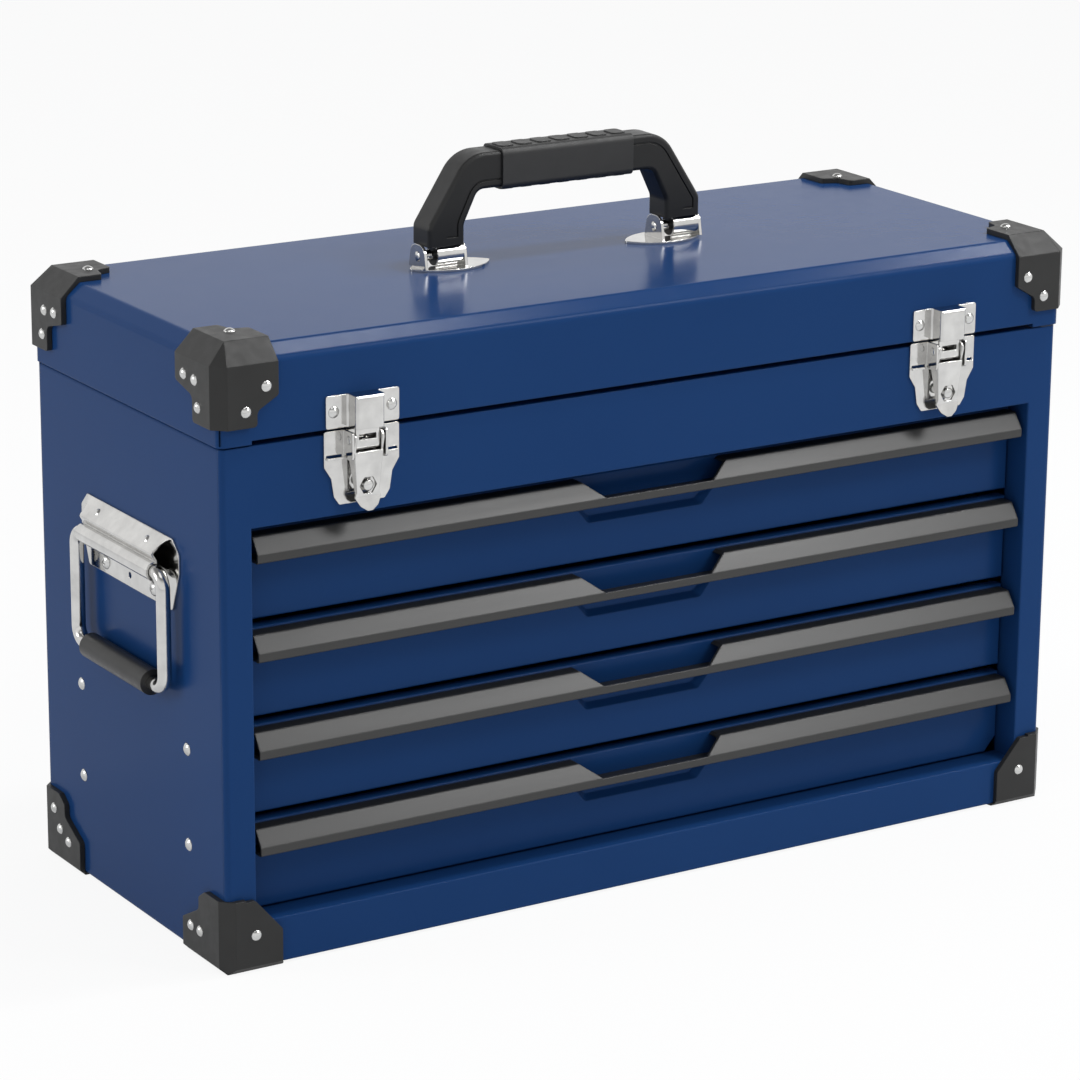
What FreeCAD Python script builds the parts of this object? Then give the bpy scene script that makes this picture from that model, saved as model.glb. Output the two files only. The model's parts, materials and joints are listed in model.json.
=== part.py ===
import FreeCAD, Part
import math
import os

from FreeCAD import Vector

# Portable steel tool box: a lidded top compartment over four drawers.
# Millimetres. X to the right, Y to the back, Z up. The origin is the centre of the footprint,
# on the surface that the box stands on.

# Case
case_width = 520.0
case_depth = 208.0
case_height = 275.0
sheet = 1.0
case_edge_radius = 3.0
foot_drop = 1.5
rim_flange = 8.0

# Front frame
stile_width = 17.0
bottom_rail = 24.0
top_rail = 42.5
frame_return = 18.0
frame_edge_radius = 0.7

# Floor of the top compartment
floor_rise = 5.0
floor_flange = 3.5

# Lid
lid_height = 49.0
seam_gap = 1.0
lid_overhang = 1.25
lid_relief = 2.0
lid_hem = 9.0
lid_edge_radius = 4.0
bevel_run = 8.0
bevel_drop = 7.0
bevel_low_round = 5.0
bevel_top_round = 2.5

# Drawers
drawer_count = 4
drawer_foot_gap = 1.2
drawer_head_gap = 4.8
drawer_gap = 4.3
front_recess = 15.0
front_side_gap = 1.5
front_flange = 8.0
front_edge_radius = 1.2
pan_inset = 8.0
pan_rise = 1.0
pan_rim_gap = 6.4
pan_back_gap = 6.0
hem_depth = 4.0
scoop_top_half = 48.7
scoop_bottom_half = 36.7
scoop_top_gap = 12.7
scoop_height = 14.7
scoop_depth = 4.0
scoop_draft = 3.5

# Pull rails
rail_end_gap = 3.5
rail_wall = 1.5
rail_top_gap = 1.1
rail_lip = 4.7
rail_slope_rise = 8.7
rail_slope_run = 6.0
rail_setback = 0.5
notch_top_half = 45.5
notch_bottom_half = 33.5

# Drawer slides
slide_sheet = 1.2
slide_height = 20.0
slide_drop = 16.4
slide_lip = 5.2
slide_clear = 0.3
slide_stile_clear = 0.2
slide_front_gap = 6.5
slide_back_gap = 11.0
standoff_width = 16.0
standoff_height = 14.0
standoff_front_inset = 41.0
standoff_back_inset = 45.0
runner_end_gap = 1.0
riveted_drawers = 2

# Rear hinge
hinge_end_gap = 9.25
hinge_knuckles = 11
hinge_sheet = 1.2
hinge_pin_radius = 1.4
pin_fit = 0.05
knuckle_gap = 0.25
hinge_leaf = 20.0
hinge_standoff = 0.3
hinge_leaf_gap = 1.2

# Corner guards
guard_wall = 3.0
guard_chamfer = 6.5
guard_bevel = 10.5
guard_bottom_bevel = 3.0
lid_guard_front = 35.0
lid_guard_side = 43.0
lid_guard_lift = 9.5
lid_guard_front_neck = 23.0
lid_guard_front_neck_rise = 8.0
lid_guard_front_step = 15.0
lid_guard_side_neck = 25.0
lid_guard_side_neck_rise = 13.5
lid_guard_side_step = 18.0
lid_guard_cap_front = 30.5
lid_guard_cap_neck = 26.0
lid_guard_cap_step = 33.0
lid_guard_cap_back = 24.0
guard_step_radius = 4.0
guard_corner_radius = 2.0
base_guard_front = 33.5
base_guard_front_flat = 18.0
base_guard_front_height = 38.5
base_guard_front_low = 20.5
base_guard_pass = 0.8
base_guard_side = 46.5
base_guard_side_flat = 22.0
base_guard_side_neck = 28.5
base_guard_side_height = 39.5
base_guard_side_neck_top = 35.0
base_guard_side_neck_low = 28.0
base_guard_side_low = 18.5

# Domed rivets
rivet_radius = 3.1
rivet_rise = 1.7
slide_rivet_radius = 3.6

# Toggle latches
latch_inset = 79.0
latch_half_width = 21.5
latch_sheet = 1.2
keeper_low = 3.3
keeper_height = 17.0
keeper_box_half = 8.25
keeper_box_depth = 9.5
keeper_rivet_out = 16.6
latch_top = 1.8
latch_shoulder = 16.6
latch_waist = 22.9
latch_waist_half = 17.5
latch_hip = 32.4
latch_hip_half = 16.0
latch_foot = 36.7
latch_foot_half = 13.0
ear_half = 10.2
ear_low = 13.0
ear_out = 9.9
lever_half = 8.4
lever_pivot_out = 6.0
lever_pivot_drop = 2.7
lever_eye_radius = 3.6
link_pivot_arm = 3.6
link_pivot_angle = 13.8
pivot_radius = 1.5
link_pin_radius = 1.0
link_eye_radius = 2.2
link_half = 6.8
link_top = 8.5
link_hook = 1.8
link_window_half = 5.0
link_window_low = 3.0
link_window_height = 2.8
lever_web_out = 8.8
lever_web_top = 8.9
lever_neck_out = 7.4
lever_neck = 32.5
lever_tip_out = 9.6
lever_tip = 39.5
lever_neck_half = 6.3
lever_flare_half = 7.4
lever_tip_half = 1.4
lever_hole = 26.8
lever_hole_half = 5.0
lever_hole_rise = 4.3
stud_radius = 2.1
stud_head_radius = 2.9
stud_proud = 0.9

# Top handle
handle_half_span = 85.5
handle_leg = 22.0
handle_depth = 18.0
handle_height = 61.0
handle_bar = 19.5
handle_shoulder = 24.0
handle_slope_run = 24.0
handle_inner_run = 8.5
handle_foot = 13.4
handle_bend = 6.0
handle_crown_bend = 20.0
handle_edge_radius = 2.2
handle_pivot_height = 7.6
tongue_radius = 5.8
tongue_margin = 1.3
tongue_neck_half = 4.2
handle_pin_radius = 2.0
groove_inset = 4.2
groove_width = 0.9
groove_depth = 0.8
grip_half = 41.0
grip_wall = 1.4
grip_pads = 7
grip_pad_long = 8.6
grip_pad_wide = 11.0
grip_pad_rise = 0.6
bracket_plate = 1.5
bracket_half_length = 24.5
bracket_shift = 7.0
bracket_half_width = 13.5
bracket_ear = 1.5
bracket_ear_clear = 0.4
bracket_ear_half = 6.5
bracket_ear_round = 6.0
bracket_ear_base = 9.0
bracket_cover = 1.2
bracket_cover_clear = 0.6
bracket_cover_start = -4.5
bracket_cover_low = -55.0
bracket_cover_high = 42.0
spring_room = 6.0
spring_wire = 0.5
spring_turns = 4

# Side handles
side_handle_shift = 4.0
side_plate_drop = 58.0
side_plate_height = 38.0
side_plate_half = 55.5
side_plate_low_half = 47.5
side_plate_step = 17.0
side_plate_corner = 7.0
side_plate_sheet = 1.2
side_roll_half = 41.0
side_crease_out = 9.8
side_crease_drop = 8.8
side_roll_out = 7.3
side_roll_drop = 18.2
side_cove_radius = 8.5
side_boss_out = 28.0
side_boss_radius = 2.2
side_boss_rise = 0.7
bail_rod_radius = 3.75
bail_clear = 0.3
bail_half_width = 49.6
bail_drop = 60.5
bail_bend = 8.0
bail_split = 0.8
bail_grip_half = 35.5
bail_grip_radius = 6.85
side_screw_out = 27.5
side_screw_drop = 31.8
side_screw_radius = 4.0
side_screw_rise = 2.2
side_hole_radius = 1.7

# One overrun for every cutting solid
over = 2.0

# Places worked out from the sizes above
half_width = case_width / 2
half_depth = case_depth / 2
rim_z = foot_drop + case_height
lid_z = rim_z + seam_gap
lid_top = lid_z + lid_height
opening_half = half_width - stile_width
opening_low = foot_drop + bottom_rail
opening_high = rim_z - top_rail
front_y = -half_depth
lid_front_y = front_y - lid_overhang
lid_half = half_width + lid_overhang
drawer_front_y = front_y + front_recess
drawer_space = opening_high - opening_low - drawer_foot_gap - drawer_head_gap
drawer_pitch = (drawer_space + drawer_gap) / drawer_count
front_height = drawer_pitch - drawer_gap
front_half = opening_half - front_side_gap
pan_half = front_half - pan_inset
pan_height = front_height - pan_rise - pan_rim_gap
pan_length = case_depth - front_recess - 2 * sheet - pan_back_gap
scoop_top = front_height - scoop_top_gap
scoop_bottom = scoop_top - scoop_height
rail_bottom = front_height - rail_top_gap - rail_slope_rise - rail_lip
slide_centre = front_height - slide_drop
standoff_front = front_y + standoff_front_inset
standoff_back = half_depth - standoff_back_inset
slide_web_out = opening_half - slide_stile_clear
runner_half = slide_height / 2 - slide_sheet - slide_clear
hinge_length = 2 * (lid_half + guard_wall - lid_guard_front - hinge_end_gap)
knuckle_radius = hinge_pin_radius + pin_fit + hinge_sheet
hinge_y = half_depth + hinge_standoff + knuckle_radius
hinge_z = rim_z + seam_gap / 2
latch_centre = half_width - latch_inset
guard_slope = (base_guard_front - base_guard_front_flat) / (base_guard_front_height - base_guard_front_low)
roll_bore = bail_rod_radius + bail_clear
roll_radius = roll_bore + side_plate_sheet
side_top = rim_z - side_plate_drop
roll_z = side_top - side_roll_drop
roll_x = half_width + side_roll_out


# General helpers

def block(x0, x1, y0, y1, z0, z1):
    """A box between two corners."""
    return Part.makeBox(x1 - x0, y1 - y0, z1 - z0, Vector(x0, y0, z0))


def rod(radius, start, end):
    """A round bar between two points."""
    way = end - start
    return Part.makeCylinder(radius, way.Length, start, way)


def tube(radius, bore, start, end):
    """A round tube between two points."""
    return rod(radius, start, end).cut(rod(bore, start, end))


def joined(shapes):
    """One solid out of shapes that touch or overlap."""
    first = shapes[0]
    if len(shapes) == 1:
        return first
    return first.fuse(shapes[1:]).removeSplitter()


def rounded_wire(corners, radii):
    """A closed wire through the corners, each rounded by its radius."""
    count = len(corners)
    starts = []
    ends = []
    middles = []
    for i, corner in enumerate(corners):
        radius = radii[i]
        back = (corners[i - 1] - corner).normalize()
        ahead = (corners[(i + 1) % count] - corner).normalize()
        if radius <= 0:
            starts.append(corner)
            ends.append(corner)
            middles.append(None)
            continue
        half_angle = back.getAngle(ahead) / 2
        reach = radius / math.tan(half_angle)
        inward = (back + ahead).normalize()
        centre = corner + inward * (radius / math.sin(half_angle))
        starts.append(corner + back * reach)
        ends.append(corner + ahead * reach)
        middles.append(centre - inward * radius)
    edges = []
    for i in range(count):
        if middles[i] is not None:
            edges.append(Part.Arc(starts[i], middles[i], ends[i]).toShape())
        following = starts[(i + 1) % count]
        if not ends[i].isEqual(following, small):
            edges.append(Part.LineSegment(ends[i], following).toShape())
    return Part.Wire(edges)


def spread(corners, radii):
    """One radius for each corner, also where a single value serves all."""
    if isinstance(radii, (int, float)):
        return [radii] * len(corners)
    return radii


def profile_x(corners, x0, x1, radii=0):
    """A profile of (y, z) corners, run along X."""
    points = [Vector(x0, y, z) for y, z in corners]
    wire = rounded_wire(points, spread(corners, radii))
    return Part.Face(wire).extrude(Vector(x1 - x0, 0, 0))


def profile_y(corners, y0, y1, radii=0):
    """A profile of (x, z) corners, run along Y."""
    points = [Vector(x, y0, z) for x, z in corners]
    wire = rounded_wire(points, spread(corners, radii))
    return Part.Face(wire).extrude(Vector(0, y1 - y0, 0))


def profile_z(corners, z0, z1, radii=0):
    """A profile of (x, y) corners, run along Z."""
    points = [Vector(x, y, z0) for x, y in corners]
    wire = rounded_wire(points, spread(corners, radii))
    return Part.Face(wire).extrude(Vector(0, 0, z1 - z0))


def folded(path, thickness, bend):
    """Outline of a folded sheet: the path is one face, the other lies to its left.

    A negative thickness puts the other face to the right."""
    wall = abs(thickness)
    inner = []
    outer_radii = []
    inner_radii = []
    last = len(path) - 1
    normals = []
    for i in range(last):
        dx = path[i + 1][0] - path[i][0]
        dy = path[i + 1][1] - path[i][1]
        length = math.hypot(dx, dy)
        normals.append((-dy / length, dx / length))
    for i, (x, y) in enumerate(path):
        before = normals[max(i - 1, 0)]
        after = normals[min(i, last - 1)]
        along = before[0] * after[0] + before[1] * after[1]
        shift = thickness / (1 + along)
        inner.append((x + (before[0] + after[0]) * shift, y + (before[1] + after[1]) * shift))
        turn = (before[0] * after[1] - before[1] * after[0]) * thickness
        if i in (0, last):
            outer_radii.append(0)
            inner_radii.append(0)
        elif turn > 0:
            outer_radii.append(bend + wall)
            inner_radii.append(bend)
        else:
            outer_radii.append(bend)
            inner_radii.append(bend + wall)
    return path + inner[::-1], outer_radii + inner_radii[::-1]


def rectangle(half_x, half_y):
    """The corners of a rectangle round the origin."""
    return [(-half_x, -half_y), (half_x, -half_y), (half_x, half_y), (-half_x, half_y)]


def mirrored_x(shape):
    """The same shape on the other side, left for right."""
    return shape.mirror(Vector(0, 0, 0), Vector(1, 0, 0))


def mirrored_y(shape):
    """The same shape on the other side, front for back."""
    return shape.mirror(Vector(0, 0, 0), Vector(0, 1, 0))


def moved(shape, x, y, z):
    """A shifted copy."""
    copy = shape.copy()
    copy.translate(Vector(x, y, z))
    return copy


def dome(radius, rise, point, direction):
    """A low domed head standing on a surface."""
    ball = (radius * radius + rise * rise) / (2 * rise)
    way = Vector(direction).normalize()
    centre = point - way * (ball - rise)
    sphere = Part.makeSphere(ball, centre)
    return sphere.common(Part.makeCylinder(radius + over, rise + over, point, way))


def save(name, shape):
    """One STEP file per node."""
    solids = shape.Solids
    whole = solids[0] if len(solids) == 1 else Part.makeCompound(solids)
    whole.exportStep("parts/" + name + ".step")


small = sheet / 10000
os.makedirs("parts", exist_ok=True)


# Case

def case_wrapper():
    """Both sides and the bottom, folded from one sheet, with hems along the top edges."""
    hem_tip = half_width - rim_flange
    path = [(-hem_tip, rim_z), (-half_width, rim_z), (-half_width, foot_drop),
            (half_width, foot_drop), (half_width, rim_z), (hem_tip, rim_z)]
    corners, radii = folded(path, sheet, sheet / 2)
    run = half_depth - case_edge_radius
    return profile_y(corners, -run, run, radii)


def edge_panel(low):
    """A face that turns the vertical edges of the case, seen from above as a shallow C."""
    path = [(-half_width, -half_depth + case_edge_radius), (-half_width, -half_depth),
            (half_width, -half_depth), (half_width, -half_depth + case_edge_radius)]
    corners, radii = folded(path, sheet, case_edge_radius - sheet)
    return profile_z(corners, low, rim_z, radii)


def turned_edges():
    """The flanges that turn in along the top and bottom edges of a face."""
    inside = -half_depth + sheet
    top_reach = half_width - rim_flange
    top = block(-top_reach, top_reach, inside, inside + rim_flange, rim_z - sheet, rim_z)
    low_reach = half_width - case_edge_radius
    low = block(-low_reach, low_reach, inside, -half_depth + case_edge_radius, foot_drop, foot_drop + sheet)
    return [top, low]


def opening_edges(shape):
    """The front edges of the drawer opening."""
    found = []
    for edge in shape.Edges:
        ends = [vertex.Point for vertex in edge.Vertexes]
        in_front = all(abs(end.y - front_y) < small for end in ends)
        inside = all(abs(end.x) < opening_half + small for end in ends)
        if in_front and inside:
            found.append(edge)
    return found


def front_frame():
    """Stiles and rails round the drawer opening, with returns that run in to the drawers."""
    face = edge_panel(foot_drop)
    inside = front_y + sheet
    deep = front_y + frame_return
    collar = block(-opening_half - sheet, opening_half + sheet, inside, deep,
                   opening_low - sheet, opening_high + sheet)
    window = block(-opening_half, opening_half, front_y - over, deep + over, opening_low, opening_high)
    frame = joined([face, collar] + turned_edges()).cut(window)
    return frame.makeFillet(frame_edge_radius, opening_edges(frame))


def back_panel():
    """The closed back of the case."""
    return mirrored_y(joined([edge_panel(foot_drop)] + turned_edges()))


def compartment_floor():
    """Floor of the top compartment, with flanges turned down all round."""
    top = opening_high + sheet + floor_rise
    half_x = half_width - sheet
    half_y = half_depth - sheet
    body = profile_z(rectangle(half_x, half_y), top - floor_flange, top, case_edge_radius)
    hollow = profile_z(rectangle(half_x - sheet, half_y - sheet), top - floor_flange - over, top - sheet,
                       case_edge_radius - sheet)
    return body.cut(hollow)


# Lid

def bevelled_block(half_x, y0, y1, z0, z1, run, drop):
    """A block whose four top edges are bevelled."""
    across = profile_y([(-half_x, z0), (half_x, z0), (half_x, z1 - drop), (half_x - run, z1),
                        (-half_x + run, z1), (-half_x, z1 - drop)], y0, y1)
    along = profile_x([(y0, z0), (y1, z0), (y1, z1 - drop), (y1 - run, z1),
                       (y0 + run, z1), (y0, z1 - drop)], -half_x, half_x)
    return across.common(along)


def upright_edges(shape):
    """The edges of a shape that run straight up."""
    found = []
    for edge in shape.Edges:
        ends = [vertex.Point for vertex in edge.Vertexes]
        if len(ends) < 2:
            continue
        way = ends[1] - ends[0]
        if abs(way.x) < small and abs(way.y) < small:
            found.append(edge)
    return found


def level_edges(shape, level):
    """The edges of a shape that lie at one height."""
    found = []
    for edge in shape.Edges:
        if all(abs(vertex.Point.z - level) < small for vertex in edge.Vertexes):
            found.append(edge)
    return found


def lid_outside():
    """The outer form of the lid as a solid."""
    body = bevelled_block(lid_half, lid_front_y, half_depth, lid_z, lid_top, bevel_run, bevel_drop)
    body = body.makeFillet(bevel_low_round, level_edges(body, lid_top - bevel_drop))
    body = body.makeFillet(lid_edge_radius, upright_edges(body))
    return body.makeFillet(bevel_top_round, level_edges(body, lid_top))


def lid_inside():
    """The hollow of the lid."""
    level = lid_top - sheet
    return bevelled_block(lid_half - sheet, lid_front_y + sheet, half_depth - sheet,
                          lid_z + sheet, level, bevel_run, bevel_drop)


def lid_shell():
    """The lid: bevelled top, four walls and a hem turned in along the lower edge."""
    shell = lid_outside().cut(lid_inside())
    reach = lid_half - lid_hem
    mouth = block(-reach, reach, lid_front_y + lid_hem, half_depth - lid_hem, lid_z - over, lid_z + 2 * sheet)
    relief = block(-opening_half, opening_half, lid_front_y - over, lid_front_y + lid_hem + over,
                   lid_z - over, lid_z + lid_relief)
    raised_hem = block(-opening_half, opening_half, lid_front_y + sheet / 2, lid_front_y + lid_hem,
                       lid_z + lid_relief, lid_z + lid_relief + sheet)
    return joined([shell.cut(mouth).cut(relief), raised_hem])


# Rear hinge

def knuckle_spans(own):
    """The stretches of the hinge line that one leaf holds, every other one."""
    pitch = hinge_length / hinge_knuckles
    spans = []
    for i in range(own, hinge_knuckles, 2):
        start = -hinge_length / 2 + i * pitch + knuckle_gap / 2
        spans.append((start, start + pitch - knuckle_gap))
    return spans


def hinge_leaf_body(z0, z1, own):
    """A leaf with its knuckles curled round the pin."""
    face = half_depth
    plate = block(-hinge_length / 2, hinge_length / 2, face, face + hinge_sheet, min(z0, z1), max(z0, z1))
    pieces = [plate]
    for start, end in knuckle_spans(own):
        curl_low = min(z1, hinge_z)
        curl_high = max(z1, hinge_z)
        pieces.append(block(start, end, face + hinge_standoff, face + hinge_sheet, curl_low, curl_high))
        pieces.append(rod(knuckle_radius, Vector(start, hinge_y, hinge_z), Vector(end, hinge_y, hinge_z)))
    bore_start = Vector(-hinge_length / 2 - over, hinge_y, hinge_z)
    bore_end = Vector(hinge_length / 2 + over, hinge_y, hinge_z)
    return joined(pieces).cut(rod(hinge_pin_radius + pin_fit, bore_start, bore_end))


def hinge_case_leaf():
    """The leaf on the back of the case."""
    near = hinge_z - knuckle_radius - hinge_leaf_gap
    return hinge_leaf_body(near - hinge_leaf, near, 0)


def hinge_lid_leaf():
    """The leaf on the back of the lid."""
    near = hinge_z + knuckle_radius + hinge_leaf_gap
    return hinge_leaf_body(near + hinge_leaf, near, 1)


def hinge_pin():
    """The long pin that both leaves turn on."""
    reach = hinge_length / 2
    return rod(hinge_pin_radius, Vector(-reach, hinge_y, hinge_z), Vector(reach, hinge_y, hinge_z))


# Corner guards, made for the left front corner with the outer corner at the origin

def corner_cut(height_low, height_high):
    """The wedge that flattens the upright edge of a guard."""
    c = guard_chamfer
    return profile_z([(-over, -over), (c + over, -over), (-over, c + over)], height_low, height_high)


def lid_guard_block(top):
    """The outer form of a lid guard, faceted at its corner."""
    far = lid_guard_side + over
    b = guard_bevel
    low = lid_z - over
    along = profile_x([(0, low), (0, top - b), (b, top), (far, top), (far, low)], 0, far)
    across = profile_y([(0, low), (0, top - b), (b, top), (far, top), (far, low)], 0, far)
    body = along.common(across).cut(corner_cut(low - over, top + over))
    peak = Vector(b, b, top)
    left = Vector(0, guard_chamfer, top - b)
    right = Vector(guard_chamfer, 0, top - b)
    outward = (left - peak).cross(right - peak).normalize()
    if outward.x > 0:
        outward = outward * -1
    return body.cut(Part.makeCylinder(far, far, peak, outward))


def lid_guard(lid):
    """A stepped, faceted guard over one corner of the lid."""
    top = lid_top + guard_wall
    low = lid_z + lid_guard_lift
    band = guard_bevel + over
    r = guard_step_radius
    c = guard_corner_radius
    front = profile_y([(-over, low), (lid_guard_front_neck, low),
                       (lid_guard_front_neck, low + lid_guard_front_neck_rise),
                       (lid_guard_front, low + lid_guard_front_step),
                       (lid_guard_front, top + over), (-over, top + over)],
                      -over, band, [0, c, r, c, 0, 0])
    side = profile_x([(-over, low), (lid_guard_side_neck, low),
                      (lid_guard_side_neck, low + lid_guard_side_neck_rise),
                      (lid_guard_side, low + lid_guard_side_step),
                      (lid_guard_side, top + over), (-over, top + over)],
                     -over, band, [0, c, r, c, 0, 0])
    cap = profile_z([(-over, -over), (lid_guard_front, -over), (lid_guard_front, lid_guard_cap_front),
                     (lid_guard_cap_neck, lid_guard_cap_step), (lid_guard_cap_back, lid_guard_side),
                     (-over, lid_guard_side)],
                    top - band, top + over, [0, 0, c, r, c, 0])
    legs = joined([front, side, cap])
    covered = moved(lid, lid_half + guard_wall, guard_wall - lid_front_y, 0)
    return lid_guard_block(top).common(legs).cut(covered)


def base_guard():
    """A guard over one corner of the base, with its foot under the case."""
    far = base_guard_side + over
    b = guard_bottom_bevel
    high = base_guard_side_height + over
    along = profile_x([(b, 0), (0, b), (0, high), (far, high), (far, 0)], 0, far)
    across = profile_y([(b, 0), (0, b), (0, high), (far, high), (far, 0)], 0, far)
    body = along.common(across).cut(corner_cut(-over, high + over))
    band = guard_bevel + over
    c = guard_corner_radius
    r = guard_step_radius
    front = profile_y([(-over, -over), (base_guard_front, -over), (base_guard_front, base_guard_front_low),
                       (base_guard_front_flat, base_guard_front_height), (-over, base_guard_front_height)],
                      -over, band, [0, 0, c, c, 0])
    side = profile_x([(-over, -over), (base_guard_side, -over), (base_guard_side, base_guard_side_low),
                      (base_guard_side_neck, base_guard_side_neck_low),
                      (base_guard_side_neck, base_guard_side_neck_top),
                      (base_guard_side_flat, base_guard_side_height), (-over, base_guard_side_height)],
                     -over, band, [0, 0, c, r, c, c, 0])
    foot = profile_z([(-over, -over), (base_guard_front, -over), (base_guard_side, base_guard_side),
                      (-over, base_guard_side)], -over, foot_drop)
    w = guard_wall
    reach = far + over
    cavity = profile_z([(w, w), (reach, w), (reach, reach), (w, reach)], foot_drop, high + over,
                       [case_edge_radius, 0, 0, 0])
    return body.common(joined([front, side, foot])).cut(cavity)


# Places of the rivets on a guard: away from its corner, and up from its lower edge
lid_front_rivets = [(28.3, 20.0), (16.8, 8.2)]
lid_side_rivets = [(33.9, 22.7), (22.4, 21.9), (19.3, 8.5)]
lid_top_rivets = [(23.0, 28.4)]
base_front_rivets = [(18.3, 19.7)]
base_side_rivets = [(27.2, 16.5), (37.3, 16.5)]
base_rear_side_rivets = [(15.7, 29.5), (22.7, 19.5), (32.9, 15.1)]


def corner_rivets(front_places, side_places, top_places, level, top):
    """Domed heads of one guard, on its two legs and its cap."""
    heads = []
    for out, up in front_places:
        heads.append(dome(rivet_radius, rivet_rise, Vector(out, 0, level + up), Vector(0, -1, 0)))
    for out, up in side_places:
        heads.append(dome(rivet_radius, rivet_rise, Vector(0, out, level + up), Vector(-1, 0, 0)))
    for out, back in top_places:
        heads.append(dome(rivet_radius, rivet_rise, Vector(out, back, top), Vector(0, 0, 1)))
    return Part.makeCompound(heads)


def at_corner(shape, right, rear, x_out, y_front, y_back):
    """A guard or its rivets taken from the left front corner to any corner."""
    placed = shape.copy()
    if right:
        placed = mirrored_x(placed)
    if rear:
        placed = mirrored_y(placed)
    x = x_out if right else -x_out
    y = y_back if rear else y_front
    return moved(placed, x, y, 0)


corners_of_box = [("front_left", False, False), ("front_right", True, False),
                  ("rear_left", False, True), ("rear_right", True, True)]


def make_guards():
    """Eight guards and the two groups of rivets that hold them."""
    lid_x = lid_half + guard_wall
    lid_y = (lid_front_y - guard_wall, half_depth + guard_wall)
    base_x = half_width + guard_wall
    base_y = (-half_depth - guard_wall, half_depth + guard_wall)
    lid_level = lid_z + lid_guard_lift
    lid_heads = []
    base_heads = []
    upper = lid_guard(lid_outside())
    lower = base_guard()
    cap = lid_top + guard_wall
    for corner, right, rear in corners_of_box:
        save("lid_guard_" + corner, at_corner(upper, right, rear, lid_x, *lid_y))
        save("base_guard_" + corner, at_corner(lower, right, rear, base_x, *base_y))
        heads = corner_rivets(lid_front_rivets, lid_side_rivets, lid_top_rivets, lid_level, cap)
        lid_heads += at_corner(heads, right, rear, lid_x, *lid_y).Solids
        side_places = base_rear_side_rivets if rear else base_side_rivets
        heads = corner_rivets(base_front_rivets, side_places, [], 0, 0)
        base_heads += at_corner(heads, right, rear, base_x, *base_y).Solids
    for side in (-1, 1):
        for out in (-keeper_rivet_out, keeper_rivet_out):
            height = rim_z + keeper_low + keeper_height / 2
            spot = Vector(side * latch_centre + out, lid_front_y - latch_sheet, height)
            lid_heads.append(dome(rivet_radius, rivet_rise, spot, Vector(0, -1, 0)))
    save("lid_rivets", Part.makeCompound(lid_heads))
    save("base_guard_rivets", Part.makeCompound(base_heads))


# Drawers

def drawer_base(number):
    """Height of the lower edge of a drawer front, the first drawer being the top one."""
    return opening_low + drawer_foot_gap + (drawer_count - number) * drawer_pitch


def guard_edge(height):
    """How far out the slanting edge of a base guard leaves room for a drawer at some height."""
    corner = half_width + guard_wall - base_guard_front
    return corner + (height - base_guard_front_low) * guard_slope - base_guard_pass


def front_outline(low, inset, clipped):
    """The outline of a drawer front; the lowest has its lower corners cut to pass the base guards."""
    side = front_half - inset
    bottom = low + inset
    top = low + front_height - inset
    if not clipped:
        return [(-side, bottom), (side, bottom), (side, top), (-side, top)]
    setback = inset * math.hypot(1, guard_slope)
    start = guard_edge(bottom) - setback
    climb = bottom + (side - start) / guard_slope
    return [(-start, bottom), (start, bottom), (side, climb), (side, top), (-side, top), (-side, climb)]


def drawer_front(low, clipped):
    """The drawer front, its edges turned back all round."""
    y0 = drawer_front_y
    body = profile_y(front_outline(low, 0, clipped), y0, y0 + front_flange)
    rim = []
    for edge in body.Edges:
        if all(abs(vertex.Point.y - y0) < small for vertex in edge.Vertexes):
            rim.append(edge)
    body = body.makeFillet(front_edge_radius, rim)
    hollow = profile_y(front_outline(low, sheet, clipped), y0 + sheet, y0 + front_flange + over)
    return body.cut(hollow)


def scoop(low, grow):
    """The pressed hollow behind the notch, as a tapered solid."""
    y0 = drawer_front_y
    rims = []
    for y, shrink in ((y0 + grow - sheet, -grow), (y0 + scoop_depth + grow, scoop_draft - grow)):
        wide = scoop_top_half - shrink
        narrow = scoop_bottom_half - shrink
        high = low + scoop_top - shrink
        deep = low + scoop_bottom + shrink
        points = [(-wide, high), (wide, high), (narrow, deep), (-narrow, deep)]
        rims.append(rounded_wire([Vector(x, y, z) for x, z in points], [scoop_draft] * len(points)))
    return Part.makeLoft(rims, True, True)


def drawer_pan(number):
    """A drawer: folded pan with hemmed walls and its front."""
    low = drawer_base(number)
    y0 = drawer_front_y + sheet
    y1 = y0 + pan_length
    z0 = low + pan_rise
    z1 = z0 + pan_height
    outside = block(-pan_half, pan_half, y0, y1, z0, z1)
    inside = block(-pan_half + sheet, pan_half - sheet, y0, y1 - sheet, z0 + sheet, z1 + over)
    hem_outside = block(-pan_half, pan_half, y0, y1, z1 - hem_depth, z1)
    hem_inside = block(-pan_half + 2 * sheet, pan_half - 2 * sheet, y0, y1 - 2 * sheet,
                       z1 - hem_depth - over, z1 + over)
    tray = outside.cut(inside)
    hem = hem_outside.cut(hem_inside)
    clipped = number == drawer_count
    front = joined([drawer_front(low, clipped), scoop(low, sheet), tray, hem])
    return front.cut(scoop(low, 0))


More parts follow.
